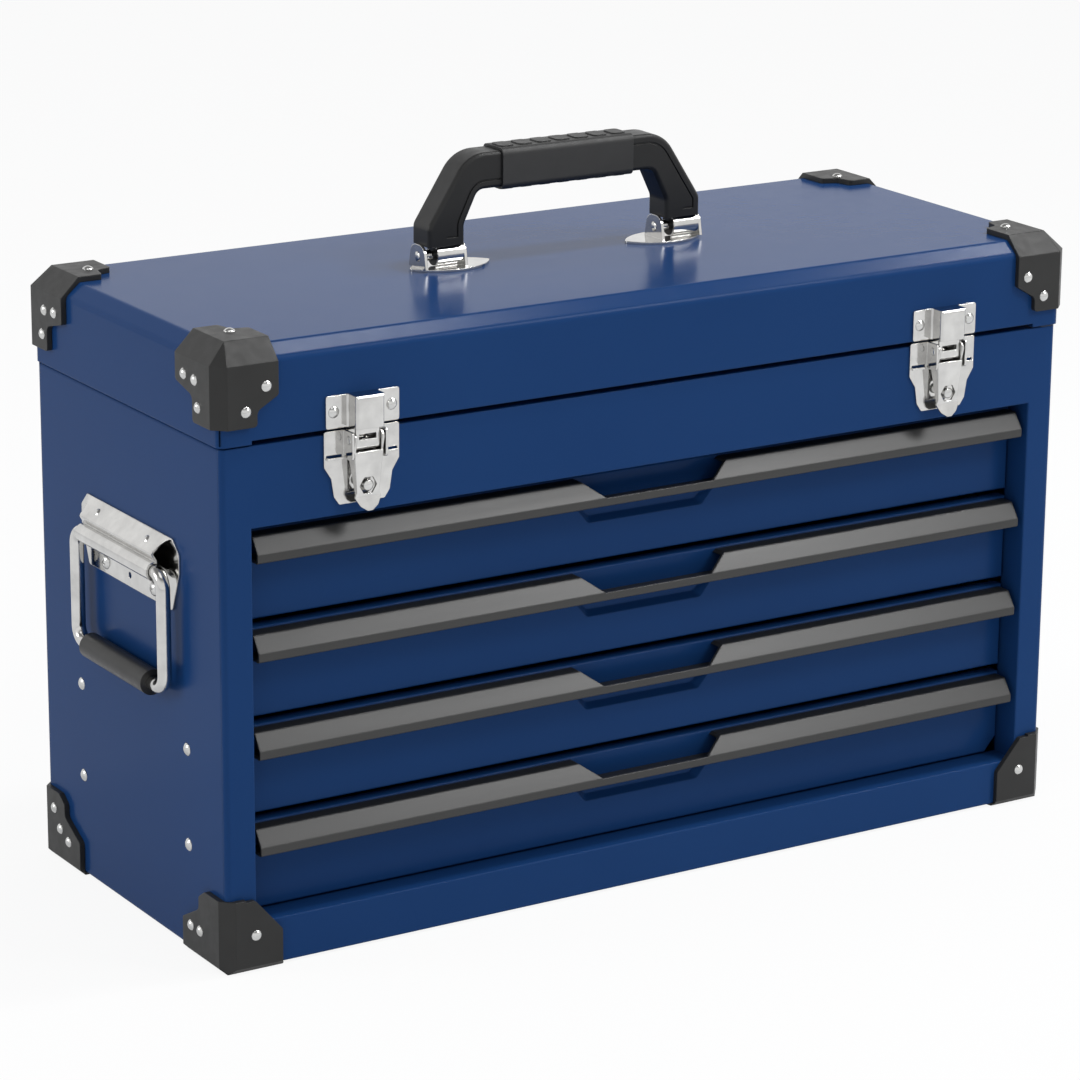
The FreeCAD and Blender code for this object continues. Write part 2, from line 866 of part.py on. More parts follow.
def drawer_pull(number):
    """The pull rail: a lip under a sloping face, notched in the middle for the fingers."""
    low = drawer_base(number) + rail_bottom
    back = drawer_front_y
    nose = front_y + rail_setback
    crest = nose + rail_slope_run
    lip_top = low + rail_lip
    top = lip_top + rail_slope_rise
    half = opening_half - rail_end_gap
    path = [(back, low), (nose, low), (nose, lip_top), (crest, top), (back, top)]
    path.reverse()
    corners, radii = folded(path, rail_wall, 0)
    body = profile_x(corners, -half, half, radii)
    notch = profile_y([(-notch_bottom_half, lip_top), (notch_bottom_half, lip_top),
                       (notch_top_half, top), (notch_top_half, top + over),
                       (-notch_top_half, top + over), (-notch_top_half, top)], nose - over, back + over)
    return body.cut(notch)


# Drawer slides, made for the right side

def outer_slide(number):
    """The channel on the case, held off the wall by two standoffs."""
    middle = drawer_base(number) + slide_centre
    web = slide_web_out
    tip = web - slide_sheet - slide_lip
    half = slide_height / 2
    start = front_y + frame_return + slide_front_gap
    end = half_depth - sheet - slide_back_gap
    path = [(tip, middle - half), (web, middle - half), (web, middle + half), (tip, middle + half)]
    corners, radii = folded(path, slide_sheet, slide_clear)
    pieces = [profile_y(corners, start, end, radii)]
    wall = half_width - sheet
    for y in (standoff_front, standoff_back):
        half_y = standoff_width / 2
        half_z = standoff_height / 2
        outside = block(web, wall, y - half_y, y + half_y, middle - half_z, middle + half_z)
        inside = block(web, wall, y - half_y + slide_sheet, y + half_y - slide_sheet,
                       middle - half_z - over, middle + half_z + over)
        floor = block(web, web + slide_sheet, y - half_y, y + half_y, middle - half_z, middle + half_z)
        foot = block(wall - slide_sheet, wall, y - half_y, y + half_y, middle - half_z, middle + half_z)
        pieces += [outside.cut(inside), floor, foot]
    return joined(pieces)


def inner_runner(number):
    """The runner on the drawer, which rides in the channel."""
    middle = drawer_base(number) + slide_centre
    tip = slide_web_out - slide_sheet - slide_clear
    start = drawer_front_y + front_flange + runner_end_gap
    end = drawer_front_y + sheet + pan_length - runner_end_gap
    path = [(tip, middle + runner_half), (pan_half, middle + runner_half),
            (pan_half, middle - runner_half), (tip, middle - runner_half)]
    corners, radii = folded(path, slide_sheet, slide_clear)
    return profile_y(corners, start, end, radii)


def pair(shape):
    """A right-hand piece and its left-hand twin."""
    return Part.makeCompound([shape, mirrored_x(shape)])


def slide_rivets():
    """The domed rivets of the lower slides, on the outside of the case."""
    heads = []
    for number in range(drawer_count - riveted_drawers + 1, drawer_count + 1):
        height = drawer_base(number) + slide_centre
        for y in (standoff_front, standoff_back):
            for side in (-1, 1):
                spot = Vector(side * half_width, y, height)
                heads.append(dome(slide_rivet_radius, rivet_rise, spot, Vector(side, 0, 0)))
    return Part.makeCompound(heads)


# Toggle latches, made at the middle of the front; out is away from the case, up is above its rim

def latch_point(out, up):
    """A place in the side view of a latch."""
    return (front_y - out, rim_z + up)


def keeper():
    """The keeper on the lid: two wings and a raised box, open below."""
    y0 = lid_front_y
    low = rim_z + keeper_low
    high = low + keeper_height
    half = latch_half_width - latch_sheet / 2
    wings = profile_y([(-half, low), (half, low), (half, high), (-half, high)],
                      y0 - latch_sheet, y0, latch_sheet)
    box_half = keeper_box_half
    proud = y0 - keeper_box_depth
    body = block(-box_half, box_half, proud, y0, low, high)
    soft = []
    for edge in body.Edges:
        ends = [vertex.Point for vertex in edge.Vertexes]
        upright = abs(ends[0].z - ends[1].z) > small
        front = all(abs(end.y - proud) < small for end in ends)
        on_top = all(abs(end.z - high) < small for end in ends)
        if front and (upright or on_top):
            soft.append(edge)
    body = body.makeFillet(latch_sheet * 1.5, soft)
    hollow = block(-box_half + latch_sheet, box_half - latch_sheet, proud + latch_sheet, y0 + over,
                   low - over, high - latch_sheet)
    whole = joined([wings, body])
    roots = []
    for edge in whole.Edges:
        ends = [vertex.Point for vertex in edge.Vertexes]
        upright = abs(ends[0].z - ends[-1].z) > small
        at_root = all(abs(abs(end.x) - box_half) + abs(end.y - y0 + latch_sheet) < small for end in ends)
        if upright and at_root:
            roots.append(edge)
    return whole.makeFillet(latch_sheet, roots).cut(hollow)


def latch_outline(y0, y1):
    """The tapering outline of the base plate, run from one depth to another."""
    right = [(latch_half_width, latch_top), (latch_half_width, -latch_shoulder),
             (latch_waist_half, -latch_waist), (latch_hip_half, -latch_hip), (latch_foot_half, -latch_foot)]
    left = [(-x, z) for x, z in reversed(right)]
    corners = [(x, rim_z + z) for x, z in right + left]
    r = latch_sheet
    radii = [r, r, 2 * r, 2 * r, r, r, 2 * r, 2 * r, r, r]
    return profile_y(corners, y0, y1, radii)


def latch_base():
    """The base plate on the case with the two ears that carry the lever."""
    plate = latch_outline(front_y - latch_sheet, front_y)
    slot_half = (latch_half_width - ear_half) / 2 - latch_sheet
    slot_z = rim_z - ear_low + latch_sheet
    lips = []
    for side in (-1, 1):
        middle = side * (ear_half + latch_half_width) / 2
        x0 = middle - slot_half
        x1 = middle + slot_half
        plate = plate.cut(block(x0, x1, front_y - over, front_y + over, slot_z, slot_z + latch_sheet))
        lips.append(block(x0, x1, front_y - 2 * latch_sheet, front_y, slot_z - latch_sheet, slot_z))
    pieces = [plate] + lips
    pivot = latch_point(lever_pivot_out, -lever_pivot_drop)
    for side in (-1, 1):
        inner = ear_half - latch_sheet
        x0 = min(side * ear_half, side * inner)
        x1 = max(side * ear_half, side * inner)
        root = profile_x([latch_point(0, latch_top), latch_point(ear_out, latch_top),
                          latch_point(ear_out, -ear_low), latch_point(0, -ear_low)],
                         x0, x1, [0, latch_sheet, 2 * latch_sheet, 0])
        eye = rod(pivot_radius + pin_fit, Vector(x0 - over, *pivot), Vector(x1 + over, *pivot))
        pieces.append(root.cut(eye))
    return joined(pieces)


def latch_stud():
    """The round-headed stud on the base, which stands in the window of the lever."""
    height = rim_z - lever_hole
    share = (lever_hole - lever_web_top) / (lever_neck - lever_web_top)
    web_out = lever_web_out + (lever_neck_out - lever_web_out) * share
    seat = front_y - latch_sheet
    tip = front_y - web_out
    post = rod(stud_radius, Vector(0, seat, height), Vector(0, tip, height))
    head = dome(stud_head_radius, stud_proud, Vector(0, tip, height), Vector(0, -1, 0))
    return joined([post, head])


def latch_pivots():
    """Two short pivots through the ears and the sides of the lever."""
    pivot = latch_point(lever_pivot_out, -lever_pivot_drop)
    inner = lever_half - latch_sheet
    pieces = []
    for side in (-1, 1):
        shank = rod(pivot_radius, Vector(side * inner, *pivot), Vector(side * ear_half, *pivot))
        head = dome(pivot_radius * 1.5, latch_sheet / 2, Vector(side * ear_half, *pivot), Vector(side, 0, 0))
        pieces.append(joined([shank, head]))
    return Part.makeCompound(pieces)


def link_pivot():
    """The place of the pin that the draw link hangs on, in the side view."""
    angle = math.radians(link_pivot_angle)
    return latch_point(lever_pivot_out - link_pivot_arm * math.sin(angle),
                       -lever_pivot_drop - link_pivot_arm * math.cos(angle))


def latch_lever():
    """The lever: a tapering web with two side walls, a window for the stud and a flared tip."""
    side_view = [latch_point(lever_web_out, -lever_web_top), latch_point(lever_neck_out, -lever_neck),
                 latch_point(lever_tip_out, -lever_tip)]
    corners, radii = folded(side_view, latch_sheet, latch_sheet)
    web = profile_x(corners, -lever_half, lever_half, radii)
    soft = latch_sheet
    cheek = (lever_flare_half + lever_tip_half) / 2 + soft / 2
    right = [(lever_half, -lever_web_top + over), (lever_neck_half, -lever_neck + soft * 2),
             (lever_flare_half, -lever_neck - soft / 2), (cheek, -lever_tip + soft * 2),
             (lever_tip_half, -lever_tip)]
    left = [(-x, z) for x, z in reversed(right)]
    outline = [(x, rim_z + z) for x, z in right + left]
    round_off = [0, soft, soft * 2, soft * 2, soft]
    front_view = profile_y(outline, front_y - lever_tip_out - over, front_y, round_off + round_off[::-1])
    web = web.common(front_view)
    hole = lever_hole_half
    rise = lever_hole_rise
    height = rim_z - lever_hole
    window = profile_y([(hole, height), (hole / 2, height + rise), (-hole / 2, height + rise),
                        (-hole, height), (-hole / 2, height - rise), (hole / 2, height - rise)],
                       front_y - lever_tip_out - over, front_y, soft / 2)
    web = web.cut(window)
    pivot = latch_point(lever_pivot_out, -lever_pivot_drop)
    pin = link_pivot()
    inset = latch_sheet / 2
    eye_back = lever_pivot_out - lever_eye_radius
    eye_front = lever_pivot_out + lever_eye_radius
    eye_top = lever_eye_radius - lever_pivot_drop
    bow = lever_eye_radius - inset
    side_wall = [latch_point(eye_back, -lever_pivot_drop), latch_point(eye_back, eye_top),
                 latch_point(eye_front, eye_top), latch_point(eye_front, -lever_pivot_drop),
                 latch_point(lever_web_out - inset, -lever_web_top),
                 latch_point(lever_neck_out - inset, -lever_neck),
                 latch_point(lever_neck_out - latch_sheet * 2, -lever_neck + latch_sheet),
                 latch_point(eye_back, -ear_low - latch_sheet * 2)]
    deep = profile_x(side_wall, -lever_half, lever_half, [0, bow, bow, 0, 0, 0, 0, latch_sheet])
    walls = []
    for side in (-1, 1):
        x0 = min(side * lever_half, side * (lever_half - latch_sheet))
        x1 = max(side * lever_half, side * (lever_half - latch_sheet))
        edge = [(lever_half, eye_top), (lever_half, -lever_web_top),
                (lever_neck_half, -lever_neck + soft * 2), (lever_neck_half, -lever_neck)]
        strip = edge + [(x - latch_sheet, z) for x, z in reversed(edge)]
        strip = [(side * x, rim_z + z) for x, z in strip]
        wall = deep.common(profile_y(strip, front_y - lever_tip_out, front_y))
        eye = rod(pivot_radius + pin_fit, Vector(x0 - over, *pivot), Vector(x1 + over, *pivot))
        small_eye = rod(link_pin_radius, Vector(x0 - over, *pin), Vector(x1 + over, *pin))
        walls.append(wall.cut(eye).cut(small_eye))
    return joined([web] + walls)


def link_pin():
    """The pin across the lever that carries the draw link."""
    pin = link_pivot()
    return rod(link_pin_radius, Vector(-lever_half, *pin), Vector(lever_half, *pin))


def latch_link():
    """The draw link: a windowed strap, rolled round its pin below and hooked above."""
    pin = link_pivot()
    top = rim_z + link_top
    outer = pin[0] - link_eye_radius
    inner = outer + latch_sheet
    eye = rod(link_eye_radius, Vector(-link_half, *pin), Vector(link_half, *pin))
    path = [(outer, pin[1]), (outer, top), (inner + link_hook, top)]
    corners, radii = folded(path, -latch_sheet, latch_sheet / 2)
    strap = profile_x(corners, -link_half, link_half, radii)
    body = joined([eye, strap])
    bore_start = Vector(-link_half - over, *pin)
    bore_end = Vector(link_half + over, *pin)
    body = body.cut(rod(link_pin_radius + pin_fit, bore_start, bore_end))
    low = rim_z - link_window_low
    high = low + link_window_height
    window = profile_y([(-link_window_half, low), (link_window_half, low),
                        (link_window_half, high), (-link_window_half, high)],
                       outer - over, inner + latch_sheet / 2, latch_sheet / 2)
    return body.cut(window)


# Top handle; the handle stands over the middle of the lid

leg_centre = handle_half_span - handle_leg / 2
pin_z = lid_top + handle_pivot_height


def handle_outline():
    """The front view of the handle."""
    top = lid_top + handle_height
    under = top - handle_bar
    foot = lid_top + handle_foot
    shoulder = lid_top + handle_shoulder
    outer = handle_half_span
    inner = handle_half_span - handle_leg
    right = [(outer - handle_slope_run, top), (outer, shoulder), (outer, foot), (inner, foot),
             (inner, shoulder), (inner - handle_inner_run, under)]
    left = [(-x, z) for x, z in reversed(right)]
    return right + left


def handle_grooves():
    """Parting grooves in the front face: on the right-hand side of each leg, up to the sleeve."""
    face = -handle_depth / 2
    depth = face + groove_depth
    top = lid_top + handle_height
    middle = top - handle_bar / 2
    low = lid_top + handle_foot
    shoulder = lid_top + handle_shoulder
    corners = handle_outline()
    crown = handle_crown_bend
    bend = handle_bend
    radii = [crown, bend, 0, 0, bend, bend, bend, bend, 0, 0, bend, crown]
    points = [Vector(x, face - over, z) for x, z in corners]
    outline = Part.Face(rounded_wire(points, radii))
    outside = outline.makeOffset2D(-groove_inset)
    inside = outline.makeOffset2D(-groove_inset - groove_width)
    band = outside.cut(inside).extrude(Vector(0, groove_depth + over, 0))
    crook = handle_half_span - (handle_slope_run + handle_leg + handle_inner_run) / 2
    inner_side = profile_y([(-leg_centre, low), (-grip_half, low), (-grip_half, middle), (-crook, middle),
                            (-leg_centre, shoulder)], face - over, depth)
    outer_side = profile_y([(leg_centre, low), (handle_half_span, low), (handle_half_span, top),
                            (grip_half, top), (grip_half, middle), (crook, middle),
                            (leg_centre, shoulder)], face - over, depth)
    return joined([band.common(inner_side), band.common(outer_side)])


def handle_core():
    """The stiff core of the handle with a tongue at each foot."""
    bend = handle_bend
    crown = handle_crown_bend
    radii = [crown, bend, 0, 0, bend, bend, bend, bend, 0, 0, bend, crown]
    half = handle_depth / 2
    body = profile_y(handle_outline(), -half, half, radii)
    rims = []
    for edge in body.Edges:
        ys = [vertex.Point.y for vertex in edge.Vertexes]
        flat = all(abs(y - ys[0]) < small for y in ys)
        low = all(vertex.Point.z < lid_top + handle_foot + small for vertex in edge.Vertexes)
        if flat and abs(abs(ys[0]) - half) < small and not low:
            rims.append(edge)
    body = body.makeFillet(handle_edge_radius, rims)
    body = body.cut(handle_grooves())
    neck_top = lid_top + handle_foot + sheet
    pieces = [body]
    for side in (-1, 1):
        x0 = side * leg_centre - handle_leg / 2 + tongue_margin
        x1 = side * leg_centre + handle_leg / 2 - tongue_margin
        x0 += spring_room
        pieces.append(block(x0, x1, -tongue_neck_half, tongue_neck_half, pin_z, neck_top))
        pieces.append(rod(tongue_radius, Vector(x0, 0, pin_z), Vector(x1, 0, pin_z)))
    whole = joined(pieces)
    for side in (-1, 1):
        start = Vector(side * leg_centre - handle_leg, 0, pin_z)
        end = Vector(side * leg_centre + handle_leg, 0, pin_z)
        whole = whole.cut(rod(handle_pin_radius + pin_fit, start, end))
    return whole


def grip_sleeve():
    """The soft sleeve round the bar, with shallow pads on its faces."""
    top = lid_top + handle_height
    under = top - handle_bar
    half = handle_depth / 2
    w = grip_wall
    body = profile_x([(-half - w, under - w), (half + w, under - w),
                      (half + w, top + w), (-half - w, top + w)],
                     -grip_half, grip_half, handle_edge_radius + w)
    bore = profile_x([(-half, under), (half, under), (half, top), (-half, top)],
                     -grip_half - over, grip_half + over, handle_edge_radius)
    return joined([body] + grip_pad_row(under - w - grip_pad_rise, under) +
                  grip_pad_row(top, top + w + grip_pad_rise)).cut(bore)


def grip_pad_row(z0, z1):
    """A row of rounded pads along the sleeve."""
    pitch = 2 * grip_half / grip_pads
    pads = []
    for i in range(grip_pads):
        middle = -grip_half + (i + 1 / 2) * pitch
        outline = [(middle + x, y) for x, y in rectangle(grip_pad_long / 2, grip_pad_wide / 2)]
        pads.append(profile_z(outline, z0, z1, handle_edge_radius))
    return pads


def handle_bracket(side):
    """A plated bracket: leaf-shaped plate, two ears and a rolled cover in front."""
    middle = side * leg_centre
    z0 = lid_top
    z1 = lid_top + bracket_plate
    centre = middle - side * bracket_shift
    west = Vector(centre - bracket_half_length, 0, z0)
    east = Vector(centre + bracket_half_length, 0, z0)
    south = Vector(centre, -bracket_half_width, z0)
    north = Vector(centre, bracket_half_width, z0)
    rim = Part.Wire([Part.Arc(west, south, east).toShape(), Part.Arc(east, north, west).toShape()])
    plate = Part.Face(rim).extrude(Vector(0, 0, bracket_plate))
    plate = plate.makeFillet(guard_corner_radius, upright_edges(plate))
    pieces = [plate]
    inner = handle_leg / 2 + bracket_ear_clear
    for way in (-1, 1):
        x0 = middle + min(way * inner, way * (inner + bracket_ear))
        x1 = x0 + bracket_ear
        crest = pin_z + bracket_ear_half
        ear = profile_x([(-bracket_ear_base, z1), (-bracket_ear_half, crest), (bracket_ear_half, crest),
                         (bracket_ear_base, z1)], x0, x1, [0, bracket_ear_round, bracket_ear_round, 0])
        eye = rod(handle_pin_radius, Vector(x0 - over, 0, pin_z), Vector(x1 + over, 0, pin_z))
        pieces.append(ear.cut(eye))
    cover_bore = tongue_radius + bracket_cover_clear
    cover_radius = cover_bore + bracket_cover
    x0 = middle + bracket_cover_start
    x1 = middle + inner + bracket_ear / 2
    ring = tube(cover_radius, cover_bore, Vector(x0, 0, pin_z), Vector(x1, 0, pin_z))
    low = math.radians(bracket_cover_low)
    high = math.radians(bracket_cover_high)
    reach = cover_radius * 3
    fan = profile_x([(0, pin_z), (-reach * math.cos(low), pin_z + reach * math.sin(low)),
                     (-reach, pin_z), (-reach * math.cos(high), pin_z + reach * math.sin(high))], x0, x1)
    pieces.append(ring.common(fan))
    return joined(pieces)


def handle_pins():
    """The two pivot pins of the top handle."""
    pieces = []
    reach = handle_leg / 2 + bracket_ear_clear + bracket_ear
    for side in (-1, 1):
        start = Vector(side * leg_centre - reach, 0, pin_z)
        end = Vector(side * leg_centre + reach, 0, pin_z)
        shank = rod(handle_pin_radius, start, end)
        left_head = dome(handle_pin_radius * 1.4, bracket_ear / 2, start, Vector(-1, 0, 0))
        right_head = dome(handle_pin_radius * 1.4, bracket_ear / 2, end, Vector(1, 0, 0))
        pieces.append(joined([shank, left_head, right_head]))
    return Part.makeCompound(pieces)


def handle_springs():
    """The two torsion springs, close-wound round the pins, each resting one leg on its bracket."""
    pieces = []
    bore = handle_pin_radius
    ridge = bore + 2 * spring_wire
    valley = bore + spring_wire
    pitch = (spring_room - bracket_ear_clear) / spring_turns
    for side in (-1, 1):
        start = side * leg_centre - handle_leg / 2 + tongue_margin - bracket_ear_clear
        points = [(start, bore), (start, valley)]
        for i in range(spring_turns):
            points += [(start + (i + 1 / 2) * pitch, ridge), (start + (i + 1) * pitch, valley)]
        points.append((start + spring_turns * pitch, bore))
        wire = Part.makePolygon([Vector(x, 0, pin_z + r) for x, r in points + points[:1]])
        coil = Part.Face(wire).revolve(Vector(0, 0, pin_z), Vector(1, 0, 0), 360)
        foot = Vector(start + pitch / 2, bore + spring_wire, lid_top + bracket_plate)
        leg = rod(spring_wire, foot, Vector(foot.x, foot.y, pin_z))
        pieces.append(joined([coil, leg]))
    return Part.makeCompound(pieces)


# Side handles, made for the right wall

def side_bracket():
    """The plated bracket: wall plate, sloping roof and the channel rolled round the bail."""
    x0 = half_width
    top = side_top
    low = top - side_plate_height
    step = top - side_plate_step
    s = side_plate_sheet
    shoulder = side_plate_half - side_plate_corner
    right = [(side_plate_low_half, low), (side_plate_half, step), (side_plate_half, top - side_plate_corner),
             (shoulder, top)]
    left = [(-y, z) for y, z in reversed(right)]
    plate = profile_x(right + left, x0, x0 + s, guard_corner_radius)
    valley = Vector(roll_x, -shoulder, roll_z + roll_radius)
    crease = top - side_crease_drop
    path = [(x0, top), (x0 + s, top), (x0 + side_crease_out, crease), (valley.x, valley.z)]
    corners, radii = folded(path, -s, s / 2)
    roof = profile_y(corners, -shoulder, shoulder, radii)
    along = Vector(0, 2 * shoulder, 0)
    turn = rod(s, valley, valley + along)
    turn = turn.cut(block(valley.x, valley.x + s + over, -shoulder - over, shoulder + over,
                          valley.z - s - over, valley.z + s + over))
    start = Vector(roll_x, -shoulder, roll_z)
    roll = rod(roll_radius, start, start + along)
    slit = block(x0 + s, valley.x - s, -shoulder - over, shoulder + over, roll_z, valley.z)
    front = joined([roof, roll.cut(slit), turn] + roof_bosses())
    for side in (-1, 1):
        front = front.cut(mirrored_y(roof_end()) if side < 0 else roof_end())
    body = joined([plate, front])
    ends = Vector(0, over, 0)
    hole_start = Vector(x0 - over, 0, top - side_screw_drop)
    hole_end = Vector(x0 + s + over, 0, top - side_screw_drop)
    body = body.cut(rod(roll_bore, start - ends, start + along + ends))
    body = body.cut(rod(side_hole_radius, hole_start, hole_end))
    return moved(body, 0, -side_handle_shift, 0)


def roof_bosses():
    """Two small bosses pressed out of the sloping roof."""
    rise = side_crease_drop
    run = side_crease_out - side_plate_sheet
    out = Vector(rise, 0, run)
    middle_x = half_width + (side_plate_sheet + side_crease_out) / 2
    middle_z = side_top - rise / 2
    bosses = []
    for y in (-side_boss_out, side_boss_out):
        bosses.append(dome(side_boss_radius, side_boss_rise, Vector(middle_x, y, middle_z), out))
    return bosses


def roof_end():
    """The room that is cut away at the far end of the roof: a round cove, then straight down."""
    x0 = half_width + side_plate_sheet
    x1 = half_width + side_crease_out + over
    crease = side_top - side_crease_drop
    far = side_plate_half + side_cove_radius
    centre = side_roll_half + side_cove_radius
    cove = rod(side_cove_radius, Vector(x0, centre, crease), Vector(x1, centre, crease))
    low = roll_z - roll_radius - over
    below = block(x0, x1 + roll_radius, side_roll_half, far, low, crease)
    beside = block(x0, x1, centre, far, crease, crease + side_cove_radius)
    return joined([cove, below, beside])


def side_screws():
    """Pan heads of the four screws that hold the two side handles."""
    heads = []
    height = side_top - side_screw_drop
    for side in (-1, 1):
        for out in (-side_screw_out, side_screw_out):
            spot = Vector(side * (half_width + side_plate_sheet), out - side_handle_shift, height)
            heads.append(dome(side_screw_radius, side_screw_rise, spot, Vector(side, 0, 0)))
    return Part.makeCompound(heads)


def quarter_turn(x, y, z, y_way, z_way):
    """A quarter arc of the bail that rounds the corner of its frame at (y, z)."""
    b = bail_bend
    near = b * (1 - math.sqrt(0.5))
    start = Vector(x, y - y_way * b, z)
    middle = Vector(x, y - y_way * near, z - z_way * near)
    end = Vector(x, y, z - z_way * b)
    return start, middle, end


def bail():
    """The round-rod bail, bent from one length whose ends meet inside the channel."""
    half = bail_half_width
    top = roll_z
    low = roll_z - bail_drop
    x = roll_x
    turns = [quarter_turn(x, half, top, 1, 1), quarter_turn(x, half, low, 1, -1)[::-1],
             quarter_turn(x, -half, low, -1, -1), quarter_turn(x, -half, top, -1, 1)[::-1]]
    here = Vector(x, bail_split / 2, top)
    edges = []
    for start, middle, end in turns:
        edges.append(Part.LineSegment(here, start).toShape())
        edges.append(Part.Arc(start, middle, end).toShape())
        here = end
    edges.append(Part.LineSegment(here, Vector(x, -bail_split / 2, top)).toShape())
    section = Part.Wire(Part.makeCircle(bail_rod_radius, Vector(x, bail_split / 2, top), Vector(0, 1, 0)))
    rod_shape = Part.Wire(edges).makePipeShell([section], True, False)
    return moved(rod_shape, 0, -side_handle_shift, 0)


def bail_grip():
    """The grip tube on the lower bar of the bail."""
    low = roll_z - bail_drop
    sleeve = tube(bail_grip_radius, bail_rod_radius,
                  Vector(roll_x, -bail_grip_half, low), Vector(roll_x, bail_grip_half, low))
    return moved(sleeve, 0, -side_handle_shift, 0)


# Making every node

def make_case():
    """The fixed sheet metal of the case."""
    save("case_wrapper", case_wrapper())
    save("back_panel", back_panel())
    save("front_frame", front_frame())
    save("compartment_floor", compartment_floor())
    save("slide_rivets", slide_rivets())


def make_lid():
    """The lid and its hinge."""
    save("lid_shell", lid_shell())
    save("hinge_case_leaf", hinge_case_leaf())
    save("hinge_lid_leaf", hinge_lid_leaf())
    save("hinge_pin", hinge_pin())


def make_drawers():
    """Each drawer with its pull rail and its pair of slides."""
    for number in range(1, drawer_count + 1):
        save("drawer_pan_" + str(number), drawer_pan(number))
        save("drawer_pull_" + str(number), drawer_pull(number))
        save("outer_slides_" + str(number), pair(outer_slide(number)))
        save("inner_runners_" + str(number), pair(inner_runner(number)))


def make_latches():
    """Two toggle latches."""
    for name, x in (("left", -latch_centre), ("right", latch_centre)):
        save(name + "_latch_keeper", moved(keeper(), x, 0, 0))
        save(name + "_latch_base", moved(latch_base(), x, 0, 0))
        save(name + "_latch_lever", moved(latch_lever(), x, 0, 0))
        save(name + "_latch_link", moved(latch_link(), x, 0, 0))
        save(name + "_link_pin", moved(link_pin(), x, 0, 0))
    places = (-latch_centre, latch_centre)
    save("latch_studs", Part.makeCompound([moved(latch_stud(), x, 0, 0) for x in places]))
    save("latch_pivots", Part.makeCompound([moved(latch_pivots(), x, 0, 0) for x in places]))


def make_top_handle():
    """The folding carrying handle."""
    save("top_handle_core", handle_core())
    save("top_handle_grip", grip_sleeve())
    save("top_handle_bracket_left", handle_bracket(-1))
    save("top_handle_bracket_right", handle_bracket(1))
    save("top_handle_pins", handle_pins())
    save("top_handle_springs", handle_springs())


def make_side_handles():
    """The two drop handles."""
    for name, is_left in (("left", True), ("right", False)):
        pieces = (("_bail_bracket", side_bracket()), ("_bail", bail()), ("_bail_grip", bail_grip()))
        for ending, shape in pieces:
            save(name + ending, mirrored_x(shape) if is_left else shape)
    save("bail_bracket_screws", side_screws())


make_case()
make_lid()
make_guards()
make_drawers()
make_latches()
make_top_handle()
make_side_handles()
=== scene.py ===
import json
import math

import bmesh
import bpy
from mathutils import Matrix, Vector


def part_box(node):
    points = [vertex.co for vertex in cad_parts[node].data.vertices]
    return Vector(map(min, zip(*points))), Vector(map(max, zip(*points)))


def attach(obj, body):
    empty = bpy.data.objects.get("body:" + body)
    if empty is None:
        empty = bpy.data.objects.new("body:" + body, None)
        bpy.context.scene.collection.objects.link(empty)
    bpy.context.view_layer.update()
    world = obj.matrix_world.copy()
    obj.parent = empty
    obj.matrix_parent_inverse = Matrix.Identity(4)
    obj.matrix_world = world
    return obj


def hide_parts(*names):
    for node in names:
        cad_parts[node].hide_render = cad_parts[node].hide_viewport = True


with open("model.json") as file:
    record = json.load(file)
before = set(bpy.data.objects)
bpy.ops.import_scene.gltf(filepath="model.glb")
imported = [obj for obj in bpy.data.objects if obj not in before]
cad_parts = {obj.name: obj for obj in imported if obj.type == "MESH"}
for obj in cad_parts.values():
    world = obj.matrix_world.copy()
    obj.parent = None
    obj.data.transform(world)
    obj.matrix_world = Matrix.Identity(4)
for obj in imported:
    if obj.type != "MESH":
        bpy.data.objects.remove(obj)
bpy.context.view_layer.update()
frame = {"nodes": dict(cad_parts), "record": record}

# Lengths are in metres and angles in degrees.

# Camera, fitted to the corners of the case in the photo
CAMERA_PLACE = (-1.1756, -1.8664, 0.8217)
CAMERA_AZIMUTH = -31.987
CAMERA_ELEVATION = 16.579
CAMERA_ROLL = 0.434
CAMERA_REACH = 50.0
FOCAL_PIXELS = 4193.4
FRAME_PIXELS = 1080
SENSOR_MILLIMETRES = 36.0

# Springs of the top handle
WIRE_RADIUS = 0.0005
WIRE_SIDES = 10
COIL_RADIUS = 0.0025
COIL_LENGTH = 0.0056
COIL_TURNS = 5
COIL_STEPS = 28

# Screws of the side handles
SCREW_RADIUS = 0.004
SCREW_RISE = 0.0022
SCREW_RINGS = 8
SCREW_SIDES = 36
SCREW_SHARP_ANGLE = 40
FRONT_SCREW_TWIST = 20
BACK_SCREW_TWIST = 65
RECESS_HALF_LONG = 0.0020
RECESS_HALF_WIDE = 0.00045
RECESS_DEPTH = 0.0012

# The part of a noise pattern over which a colour or a roughness runs
PATTERN_LOW = 0.3
PATTERN_HIGH = 0.7

# Rays that find the rounding of an edge
EDGE_SAMPLES = 4

# Blue paint
PAINT_COLOURS = ((0.0090, 0.0420, 0.1440), (0.0105, 0.0465, 0.1550))
PAINT_COLOUR_SCALE = 6.0
PAINT_ROUGHNESS = (0.19, 0.22)
PAINT_ROUGHNESS_SCALE = 90.0
PAINT_GLOSS = 0.06
PAINT_EDGE = 0.0011
PEEL_SCALE = 900.0
PEEL_STRENGTH = 0.05
PEEL_DEPTH = 0.00008

# Grey coating of the pull rails, with a faint grain along them
RAIL_COLOURS = ((0.020, 0.020, 0.0195), (0.026, 0.026, 0.0255))
RAIL_ROUGHNESS = (0.30, 0.36)
RAIL_GRAIN_SCALE = 60.0
RAIL_GRAIN_STRETCH = (0.05, 1.0, 1.0)
RAIL_GLOSS = 0.5
RAIL_EDGE = 0.0009
SATIN_SCALE = 2500.0
SATIN_STRENGTH = 0.12
SATIN_DEPTH = 0.00005

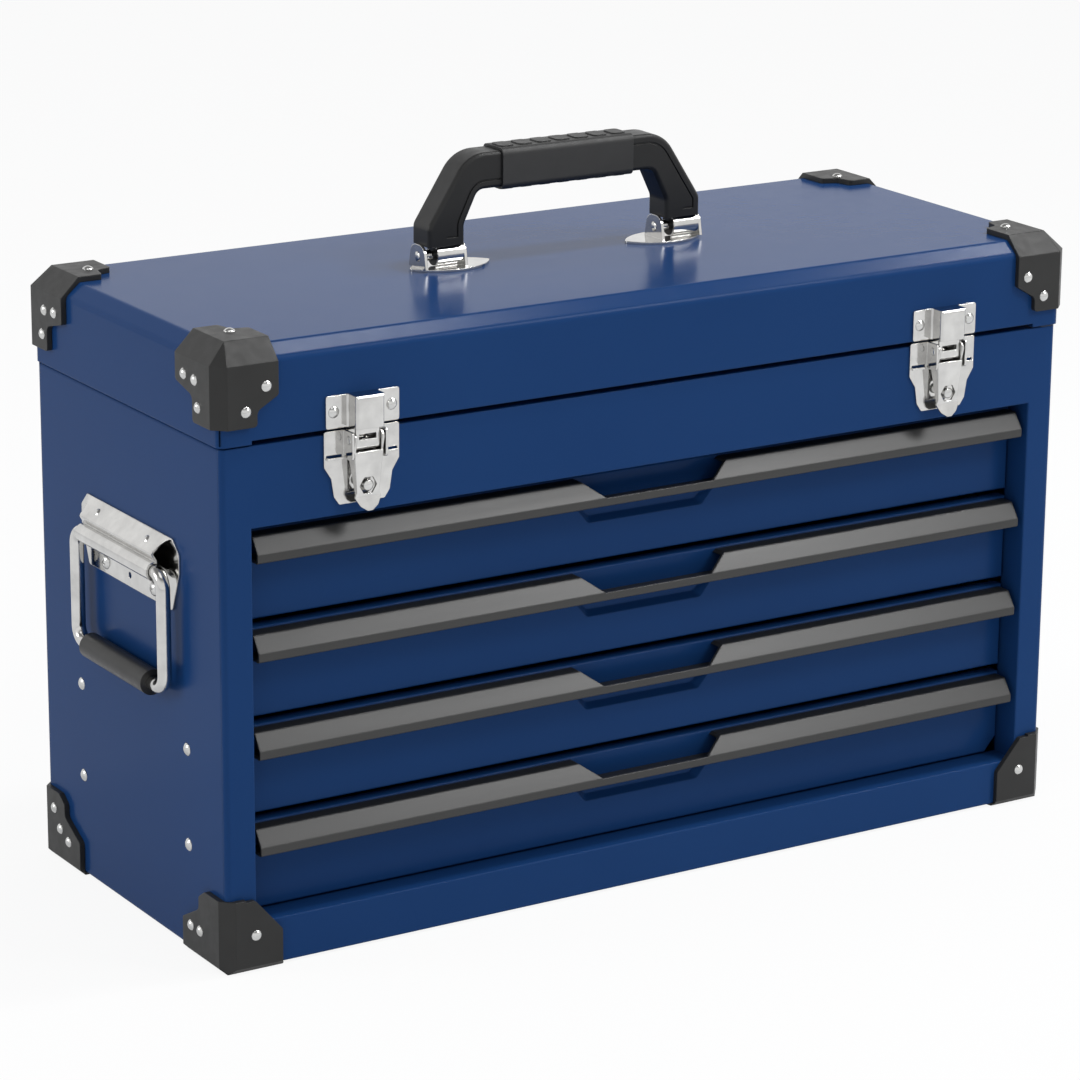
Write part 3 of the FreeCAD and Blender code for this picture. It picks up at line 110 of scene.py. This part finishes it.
# Moulded plastics
PLASTIC_COLOUR_SCALE = 40.0
PLASTIC_ROUGHNESS_SCALE = 180.0
PLASTIC_ROUGHNESS_SPREAD = 0.05
GRAIN_ROUGHNESS = 0.6
GRAIN_STRENGTH = 0.35
PLASTICS = {
    "guard_black": {
        "colours": ((0.018, 0.018, 0.0175), (0.023, 0.023, 0.0225)), "roughness": 0.42,
        "grain_scale": 1600.0, "grain_depth": 0.00008, "edge": 0.0008, "gloss": 0.32},
    "handle_black": {
        "colours": ((0.013, 0.013, 0.013), (0.017, 0.017, 0.017)), "roughness": 0.38,
        "grain_scale": 1800.0, "grain_depth": 0.00005, "edge": 0.0005, "gloss": 0.30},
    "grip_rubber": {
        "colours": ((0.018, 0.018, 0.018), (0.024, 0.024, 0.024)), "roughness": 0.46,
        "grain_scale": 1500.0, "grain_depth": 0.00008, "edge": 0.0004, "gloss": 0.45},
    "bail_grip_black": {
        "colours": ((0.014, 0.014, 0.014), (0.019, 0.019, 0.019)), "roughness": 0.36,
        "grain_scale": 1500.0, "grain_depth": 0.00004, "edge": 0.0005, "gloss": 0.40},
}

# Plated and polished metals
PLATING_COLOUR_SCALE = 120.0
PLATING_ROUGHNESS_SCALE = 260.0
PLATING_EDGE = 0.0006
RIPPLE_SCALE = 220.0
RIPPLE_STRENGTH = 0.16
RIPPLE_DEPTH = 0.0001
PLATINGS = {
    "nickel_plate": {
        "colours": ((0.55, 0.545, 0.535), (0.66, 0.655, 0.64)), "roughness": (0.08, 0.15)},
    "bright_fastener": {
        "colours": ((0.55, 0.55, 0.54), (0.66, 0.66, 0.65)), "roughness": (0.11, 0.18)},
    "hinge_pin_steel": {
        "colours": ((0.48, 0.48, 0.48), (0.56, 0.56, 0.56)), "roughness": (0.25, 0.35)},
}

# Zinc of the drawer slides, with rolling marks along them
ZINC_COLOURS = ((0.50, 0.51, 0.53), (0.62, 0.63, 0.64))
ZINC_ROUGHNESS = (0.26, 0.40)
ZINC_EDGE = 0.0003
MARKS_SCALE = 400.0
MARKS_STRETCH = (1.0, 0.02, 1.0)
MARKS_STRENGTH = 0.08
MARKS_DEPTH = 0.00005

# World
WHITE = (1.0, 1.0, 1.0, 1.0)
WHITE_STRENGTH = 1.0
SKY_COLOUR = (0.95, 0.97, 1.0, 1.0)
SKY_STRENGTH = 0.55
WORLD_WHITE_SHARE = 1.0

# Height of the view, as a sine, from which the white backdrop darkens to the ceiling
CEILING_START = 0.45
CEILING_END = 0.80
CEILING_COLOUR = (0.25, 0.25, 0.25, 1.0)

# Floor, with the shares of plain white in what the camera and gloss see of it
FLOOR_HALF = 6.0
FLOOR_COLOURS = ((0.86, 0.86, 0.86), (0.88, 0.88, 0.88))
FLOOR_COLOUR_SCALE = 3.0
FLOOR_ROUGHNESS = 0.9
FLOOR_GLOSS = 0.1
FLOOR_WHITE_SHARE = 0.9
FLOOR_GLOSS_SHARE = 0.4

# Lamps: name, place, side and watts. All look at one point of the box.
LAMP_TARGET = (0.0, 0.0, 0.2)
LAMPS = (
    ("side_key", (-2.2, 0.7, 1.0), 0.7, 11.0),
    ("top_key", (-0.6, -0.7, 2.4), 1.2, 6.0),
    ("bevel_left", (0.72, -0.36, 2.05), 0.25, 9.0),
    ("bevel_right", (1.48, -0.34, 1.87), 0.25, 9.0),
    ("front_box", (1.10, -1.30, 1.60), 0.6, 11.0),
)


# Node helpers

def new_material(name):
    """A node material with its tree, its shader and the coordinates of the object."""
    material = bpy.data.materials.new(name)
    material.use_nodes = True
    tree = material.node_tree
    tree.nodes.clear()
    output = tree.nodes.new("ShaderNodeOutputMaterial")
    shader = tree.nodes.new("ShaderNodeBsdfPrincipled")
    tree.links.new(shader.outputs["BSDF"], output.inputs["Surface"])
    coordinates = tree.nodes.new("ShaderNodeTexCoord")
    return material, tree, shader, coordinates.outputs["Object"]


def noise(tree, vector, scale, detail=3.0, rough=0.5, stretch=(1.0, 1.0, 1.0)):
    """A noise pattern. A stretch below 1 draws it out along that axis."""
    mapping = tree.nodes.new("ShaderNodeMapping")
    mapping.inputs["Scale"].default_value = stretch
    tree.links.new(vector, mapping.inputs["Vector"])
    node = tree.nodes.new("ShaderNodeTexNoise")
    node.inputs["Scale"].default_value = scale
    node.inputs["Detail"].default_value = detail
    node.inputs["Roughness"].default_value = rough
    tree.links.new(mapping.outputs["Vector"], node.inputs["Vector"])
    return node.outputs["Fac"]


def between(tree, factor, low, high):
    """A value that runs between two limits with a pattern."""
    node = tree.nodes.new("ShaderNodeMapRange")
    node.inputs["From Min"].default_value = PATTERN_LOW
    node.inputs["From Max"].default_value = PATTERN_HIGH
    node.inputs["To Min"].default_value = low
    node.inputs["To Max"].default_value = high
    tree.links.new(factor, node.inputs["Value"])
    return node.outputs["Result"]


def two_colours(tree, factor, first, second):
    """A colour that runs between two colours with a pattern."""
    ramp = tree.nodes.new("ShaderNodeValToRGB")
    ramp.color_ramp.elements[0].position = PATTERN_LOW
    ramp.color_ramp.elements[1].position = PATTERN_HIGH
    ramp.color_ramp.elements[0].color = (*first, 1.0)
    ramp.color_ramp.elements[1].color = (*second, 1.0)
    tree.links.new(factor, ramp.inputs["Fac"])
    return ramp.outputs["Color"]


def soft_edges(tree, radius):
    """A normal that rounds the sharp edges of a piece."""
    node = tree.nodes.new("ShaderNodeBevel")
    node.samples = EDGE_SAMPLES
    node.inputs["Radius"].default_value = radius
    return node.outputs["Normal"]


def bump(tree, height, strength, distance, normal):
    """A fine relief over the rounded edges."""
    node = tree.nodes.new("ShaderNodeBump")
    node.inputs["Strength"].default_value = strength
    node.inputs["Distance"].default_value = distance
    tree.links.new(height, node.inputs["Height"])
    tree.links.new(normal, node.inputs["Normal"])
    return node.outputs["Normal"]


# Materials

def paint_material():
    """Semi-gloss blue powder paint with a faint orange peel."""
    material, tree, shader, place = new_material("blue_paint")
    wide = noise(tree, place, PAINT_COLOUR_SCALE)
    tree.links.new(two_colours(tree, wide, *PAINT_COLOURS), shader.inputs["Base Color"])
    fine = noise(tree, place, PAINT_ROUGHNESS_SCALE)
    tree.links.new(between(tree, fine, *PAINT_ROUGHNESS), shader.inputs["Roughness"])
    peel = noise(tree, place, PEEL_SCALE, detail=1.0)
    edges = soft_edges(tree, PAINT_EDGE)
    tree.links.new(bump(tree, peel, PEEL_STRENGTH, PEEL_DEPTH, edges), shader.inputs["Normal"])
    shader.inputs["Specular IOR Level"].default_value = PAINT_GLOSS
    return material


def rail_material():
    """Dark grey satin coating of the pull rails."""
    material, tree, shader, place = new_material("rail_grey")
    grain = noise(tree, place, RAIL_GRAIN_SCALE, detail=4.0, stretch=RAIL_GRAIN_STRETCH)
    tree.links.new(two_colours(tree, grain, *RAIL_COLOURS), shader.inputs["Base Color"])
    tree.links.new(between(tree, grain, *RAIL_ROUGHNESS), shader.inputs["Roughness"])
    satin = noise(tree, place, SATIN_SCALE, detail=2.0)
    edges = soft_edges(tree, RAIL_EDGE)
    tree.links.new(bump(tree, satin, SATIN_STRENGTH, SATIN_DEPTH, edges), shader.inputs["Normal"])
    shader.inputs["Specular IOR Level"].default_value = RAIL_GLOSS
    return material


def plastic_material(name, colours, roughness, grain_scale, grain_depth, edge, gloss):
    """Moulded plastic with a fine spark-eroded grain."""
    material, tree, shader, place = new_material(name)
    wide = noise(tree, place, PLASTIC_COLOUR_SCALE, detail=5.0)
    tree.links.new(two_colours(tree, wide, *colours), shader.inputs["Base Color"])
    fine = noise(tree, place, PLASTIC_ROUGHNESS_SCALE)
    tree.links.new(between(tree, fine, roughness - PLASTIC_ROUGHNESS_SPREAD,
                           roughness + PLASTIC_ROUGHNESS_SPREAD), shader.inputs["Roughness"])
    grain = noise(tree, place, grain_scale, rough=GRAIN_ROUGHNESS)
    edges = soft_edges(tree, edge)
    tree.links.new(bump(tree, grain, GRAIN_STRENGTH, grain_depth, edges), shader.inputs["Normal"])
    shader.inputs["Specular IOR Level"].default_value = gloss
    return material


def plated_material(name, colours, roughness):
    """Bright metal with faint clouding and fine waviness."""
    material, tree, shader, place = new_material(name)
    wide = noise(tree, place, PLATING_COLOUR_SCALE, detail=4.0)
    tree.links.new(two_colours(tree, wide, *colours), shader.inputs["Base Color"])
    fine = noise(tree, place, PLATING_ROUGHNESS_SCALE)
    tree.links.new(between(tree, fine, *roughness), shader.inputs["Roughness"])
    ripple = noise(tree, place, RIPPLE_SCALE, detail=2.0)
    edges = soft_edges(tree, PLATING_EDGE)
    tree.links.new(bump(tree, ripple, RIPPLE_STRENGTH, RIPPLE_DEPTH, edges),
                   shader.inputs["Normal"])
    shader.inputs["Metallic"].default_value = 1.0
    return material


def zinc_material():
    """Zinc-plated steel with lengthwise rolling marks."""
    material, tree, shader, place = new_material("slide_zinc")
    marks = noise(tree, place, MARKS_SCALE, detail=4.0, stretch=MARKS_STRETCH)
    tree.links.new(two_colours(tree, marks, *ZINC_COLOURS), shader.inputs["Base Color"])
    tree.links.new(between(tree, marks, *ZINC_ROUGHNESS), shader.inputs["Roughness"])
    edges = soft_edges(tree, ZINC_EDGE)
    tree.links.new(bump(tree, marks, MARKS_STRENGTH, MARKS_DEPTH, edges), shader.inputs["Normal"])
    shader.inputs["Metallic"].default_value = 1.0
    return material


materials = {"blue_paint": paint_material(), "rail_grey": rail_material(),
             "slide_zinc": zinc_material()}
for slot_name, values in PLASTICS.items():
    materials[slot_name] = plastic_material(slot_name, **values)
for slot_name, values in PLATINGS.items():
    materials[slot_name] = plated_material(slot_name, **values)


def dress_frame():
    """Gives every CAD node the finish of its slot."""
    for entry in frame["record"]["subparts"]:
        node = frame["nodes"][entry["node"]]
        material = materials[entry["material_slot"]]
        if not node.material_slots:
            node.data.materials.append(material)
        for slot in node.material_slots:
            slot.material = material


# Pieces that take the place of small CAD solids

def revolved(profile, sides):
    """A bmesh turned from points (out, along) round the z axis, closed on the axis."""
    mesh = bmesh.new()
    rings = []
    for out, along in profile:
        if out == 0:
            rings.append([mesh.verts.new((0, 0, along))])
            continue
        ring = []
        for k in range(sides):
            turn = 2 * math.pi * k / sides
            ring.append(mesh.verts.new((out * math.cos(turn), out * math.sin(turn), along)))
        rings.append(ring)
    for lower, upper in zip(rings, rings[1:]):
        for k in range(sides):
            j = (k + 1) % sides
            corners = [lower[k % len(lower)], lower[j % len(lower)],
                       upper[j % len(upper)], upper[k % len(upper)]]
            mesh.faces.new(list(dict.fromkeys(corners)))
    bmesh.ops.recalc_face_normals(mesh, faces=mesh.faces)
    return mesh


def add_tube(mesh, path, radius, sides):
    """Adds a round tube with closed ends, which follows a path, to a bmesh."""
    rings = []
    across = None
    for i, point in enumerate(path):
        ahead = path[min(i + 1, len(path) - 1)] - path[max(i - 1, 0)]
        ahead.normalize()
        if across is None:
            across = ahead.orthogonal()
        across = (across - ahead * across.dot(ahead)).normalized()
        over = ahead.cross(across)
        ring = []
        for k in range(sides):
            turn = 2 * math.pi * k / sides
            outward = across * math.cos(turn) + over * math.sin(turn)
            ring.append(mesh.verts.new(point + outward * radius))
        rings.append(ring)
    for lower, upper in zip(rings, rings[1:]):
        for k in range(sides):
            j = (k + 1) % sides
            mesh.faces.new([lower[k], lower[j], upper[j], upper[k]])
    mesh.faces.new(rings[0][::-1])
    mesh.faces.new(rings[-1])


def add_object(name, mesh):
    """An object made from a finished bmesh, which is freed."""
    data = bpy.data.meshes.new(name)
    mesh.to_mesh(data)
    mesh.free()
    made = bpy.data.objects.new(name, data)
    bpy.context.collection.objects.link(made)
    return made


def add_piece(name, mesh, slot_name, body, replaced):
    """Puts a finished bmesh on its body, in place of a CAD node."""
    piece = add_object(name, mesh)
    for face in piece.data.polygons:
        face.use_smooth = True
    piece.data.materials.append(materials[slot_name])
    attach(piece, body)
    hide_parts(replaced)
    return piece


def coil_springs():
    """The two torsion springs of the top handle, wound from round wire."""
    low, high = (Vector(corner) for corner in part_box("top_handle_springs"))
    pin = Vector(next(j["pos_m"] for j in frame["record"]["behaviour"]["joints"]
                      if j["name"] == "top_handle_fold"))
    pitch = (COIL_LENGTH - 2 * WIRE_RADIUS) / COIL_TURNS
    mesh = bmesh.new()
    for start in (low.x, high.x - COIL_LENGTH):
        first = Vector((start + WIRE_RADIUS, 0, pin.z))
        path = [Vector((first.x, -COIL_RADIUS, low.z + WIRE_RADIUS / 2))]
        for i in range(COIL_TURNS * COIL_STEPS + 1):
            turn = 2 * math.pi * i / COIL_STEPS
            path.append(first + Vector((pitch * i / COIL_STEPS, -COIL_RADIUS * math.cos(turn),
                                        COIL_RADIUS * math.sin(turn))))
        add_tube(mesh, path, WIRE_RADIUS, WIRE_SIDES)
    bmesh.ops.recalc_face_normals(mesh, faces=mesh.faces)
    add_piece("coil_springs", mesh, "nickel_plate", "lid", "top_handle_springs")


def cross_cutter(half_long, half_wide, low, high):
    """A bmesh prism with a cross for its section."""
    a, b = half_long, half_wide
    outline = [(a, -b), (a, b), (b, b), (b, a), (-b, a), (-b, b),
               (-a, b), (-a, -b), (-b, -b), (-b, -a), (b, -a), (b, -b)]
    mesh = bmesh.new()
    lower = [mesh.verts.new((x, y, low)) for x, y in outline]
    upper = [mesh.verts.new((x, y, high)) for x, y in outline]
    mesh.faces.new(lower[::-1])
    mesh.faces.new(upper)
    for i in range(len(outline)):
        j = (i + 1) % len(outline)
        mesh.faces.new([lower[i], lower[j], upper[j], upper[i]])
    return mesh


def screw_head():
    """The mesh of one domed head with a cross recess, standing on the z axis."""
    ball = (SCREW_RADIUS ** 2 + SCREW_RISE ** 2) / (2 * SCREW_RISE)
    widest = math.asin(SCREW_RADIUS / ball)
    profile = [(0, 0)]
    for i in range(SCREW_RINGS):
        turn = widest * (1 - i / SCREW_RINGS)
        profile.append((ball * math.sin(turn), ball * math.cos(turn) - ball + SCREW_RISE))
    profile.append((0, SCREW_RISE))
    head = add_object("head", revolved(profile, SCREW_SIDES))
    cutter = add_object("cutter", cross_cutter(RECESS_HALF_LONG, RECESS_HALF_WIDE,
                                               SCREW_RISE - RECESS_DEPTH, 2 * SCREW_RISE))
    cut = head.modifiers.new("recess", "BOOLEAN")
    cut.operation = "DIFFERENCE"
    cut.solver = "EXACT"
    cut.object = cutter
    finished = head.evaluated_get(bpy.context.evaluated_depsgraph_get())
    shaped = bpy.data.meshes.new_from_object(finished)
    bpy.data.objects.remove(head)
    bpy.data.objects.remove(cutter)
    return shaped


def side_screws():
    """The four recessed screws that hold the side handles."""
    low, high = (Vector(corner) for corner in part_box("bail_bracket_screws"))
    height = (low.z + high.z) / 2
    head = screw_head()
    mesh = bmesh.new()
    for side, wall in ((-1, low.x + SCREW_RISE), (1, high.x - SCREW_RISE)):
        for depth, twist in ((low.y + SCREW_RADIUS, FRONT_SCREW_TWIST),
                             (high.y - SCREW_RADIUS, BACK_SCREW_TWIST)):
            first = len(mesh.verts)
            mesh.from_mesh(head)
            mesh.verts.ensure_lookup_table()
            place = (Matrix.Translation((wall, depth, height))
                     @ Matrix.Rotation(side * math.pi / 2, 4, "Y")
                     @ Matrix.Rotation(math.radians(twist), 4, "Z"))
            bmesh.ops.transform(mesh, matrix=place, verts=mesh.verts[first:])
    bpy.data.meshes.remove(head)
    piece = add_piece("side_screws", mesh, "bright_fastener", "case", "bail_bracket_screws")
    piece.data.set_sharp_from_angle(angle=math.radians(SCREW_SHARP_ANGLE))


# Stage

def background_rays(tree, seen_share, gloss_share):
    """The share of white for rays that see a surface directly, in gloss or through glass."""
    path = tree.nodes.new("ShaderNodeLightPath")
    total = None
    for kind, share in (("Is Camera Ray", seen_share), ("Is Glossy Ray", gloss_share),
                        ("Is Transmission Ray", gloss_share)):
        scaled = tree.nodes.new("ShaderNodeMath")
        scaled.operation = "MULTIPLY"
        scaled.inputs[1].default_value = share
        tree.links.new(path.outputs[kind], scaled.inputs[0])
        if total is None:
            total = scaled.outputs[0]
            continue
        larger = tree.nodes.new("ShaderNodeMath")
        larger.operation = "MAXIMUM"
        tree.links.new(total, larger.inputs[0])
        tree.links.new(scaled.outputs[0], larger.inputs[1])
        total = larger.outputs[0]
    return total


def make_world():
    """Soft even light, with a white background that darkens towards a ceiling."""
    world = bpy.data.worlds.new("studio")
    bpy.context.scene.world = world
    world.use_nodes = True
    tree = world.node_tree
    tree.nodes.clear()
    output = tree.nodes.new("ShaderNodeOutputWorld")
    sky = tree.nodes.new("ShaderNodeBackground")
    sky.inputs["Color"].default_value = SKY_COLOUR
    sky.inputs["Strength"].default_value = SKY_STRENGTH
    white = tree.nodes.new("ShaderNodeBackground")
    white.inputs["Strength"].default_value = WHITE_STRENGTH
    place = tree.nodes.new("ShaderNodeTexCoord")
    parts = tree.nodes.new("ShaderNodeSeparateXYZ")
    ceiling = tree.nodes.new("ShaderNodeValToRGB")
    ceiling.color_ramp.interpolation = "EASE"
    ceiling.color_ramp.elements[0].position = CEILING_START
    ceiling.color_ramp.elements[0].color = WHITE
    ceiling.color_ramp.elements[1].position = CEILING_END
    ceiling.color_ramp.elements[1].color = CEILING_COLOUR
    tree.links.new(place.outputs["Generated"], parts.inputs["Vector"])
    tree.links.new(parts.outputs["Z"], ceiling.inputs["Fac"])
    tree.links.new(ceiling.outputs["Color"], white.inputs["Color"])
    mix = tree.nodes.new("ShaderNodeMixShader")
    tree.links.new(background_rays(tree, WORLD_WHITE_SHARE, WORLD_WHITE_SHARE), mix.inputs["Fac"])
    tree.links.new(sky.outputs[0], mix.inputs[1])
    tree.links.new(white.outputs[0], mix.inputs[2])
    tree.links.new(mix.outputs[0], output.inputs["Surface"])


def make_floor():
    """A wide pale floor that keeps the object's shadow."""
    half = FLOOR_HALF
    mesh = bpy.data.meshes.new("floor")
    mesh.from_pydata([(-half, -half, 0), (half, -half, 0), (half, half, 0), (-half, half, 0)],
                     [], [(0, 1, 2, 3)])
    floor = bpy.data.objects.new("floor", mesh)
    bpy.context.collection.objects.link(floor)
    material, tree, shader, place = new_material("floor_white")
    pattern = noise(tree, place, FLOOR_COLOUR_SCALE)
    tree.links.new(two_colours(tree, pattern, *FLOOR_COLOURS), shader.inputs["Base Color"])
    shader.inputs["Roughness"].default_value = FLOOR_ROUGHNESS
    shader.inputs["Specular IOR Level"].default_value = FLOOR_GLOSS
    glow = tree.nodes.new("ShaderNodeEmission")
    glow.inputs["Color"].default_value = WHITE
    glow.inputs["Strength"].default_value = WHITE_STRENGTH
    mix = tree.nodes.new("ShaderNodeMixShader")
    tree.links.new(background_rays(tree, FLOOR_WHITE_SHARE, FLOOR_GLOSS_SHARE), mix.inputs["Fac"])
    tree.links.new(shader.outputs["BSDF"], mix.inputs[1])
    tree.links.new(glow.outputs[0], mix.inputs[2])
    output = tree.nodes.get("Material Output")
    tree.links.new(mix.outputs[0], output.inputs["Surface"])
    mesh.materials.append(material)


def area_light(name, place, size, power):
    """A soft square lamp that looks at the box."""
    data = bpy.data.lights.new(name, "AREA")
    data.size = size
    data.energy = power
    lamp = bpy.data.objects.new(name, data)
    lamp.location = place
    ahead = Vector(LAMP_TARGET) - Vector(place)
    lamp.rotation_euler = ahead.to_track_quat("-Z", "Y").to_euler()
    bpy.context.collection.objects.link(lamp)


def make_lights():
    """Keys from the left and above, and soft boxes that the lid's bevel and the rails reflect."""
    for name, place, size, power in LAMPS:
        area_light(name, place, size, power)


def make_camera():
    """The camera at the photo's viewing angle."""
    azimuth = math.radians(CAMERA_AZIMUTH)
    elevation = math.radians(CAMERA_ELEVATION)
    roll = math.radians(CAMERA_ROLL)
    forward = Vector((-math.sin(azimuth) * math.cos(elevation),
                      math.cos(azimuth) * math.cos(elevation), -math.sin(elevation)))
    level = Vector((math.cos(azimuth), math.sin(azimuth), 0.0))
    rise = level.cross(forward)
    right = level * math.cos(roll) + rise * math.sin(roll)
    up = rise * math.cos(roll) - level * math.sin(roll)
    turn = Matrix((right, up, -forward)).transposed().to_4x4()
    data = bpy.data.cameras.new("camera")
    data.sensor_width = SENSOR_MILLIMETRES
    data.lens = FOCAL_PIXELS * SENSOR_MILLIMETRES / FRAME_PIXELS
    data.clip_end = CAMERA_REACH
    camera = bpy.data.objects.new("camera", data)
    camera.matrix_world = Matrix.Translation(CAMERA_PLACE) @ turn
    bpy.context.collection.objects.link(camera)
    bpy.context.scene.camera = camera


dress_frame()
coil_springs()
side_screws()
make_world()
make_floor()
make_lights()
make_camera()
bpy.context.scene.view_settings.view_transform = "Standard"
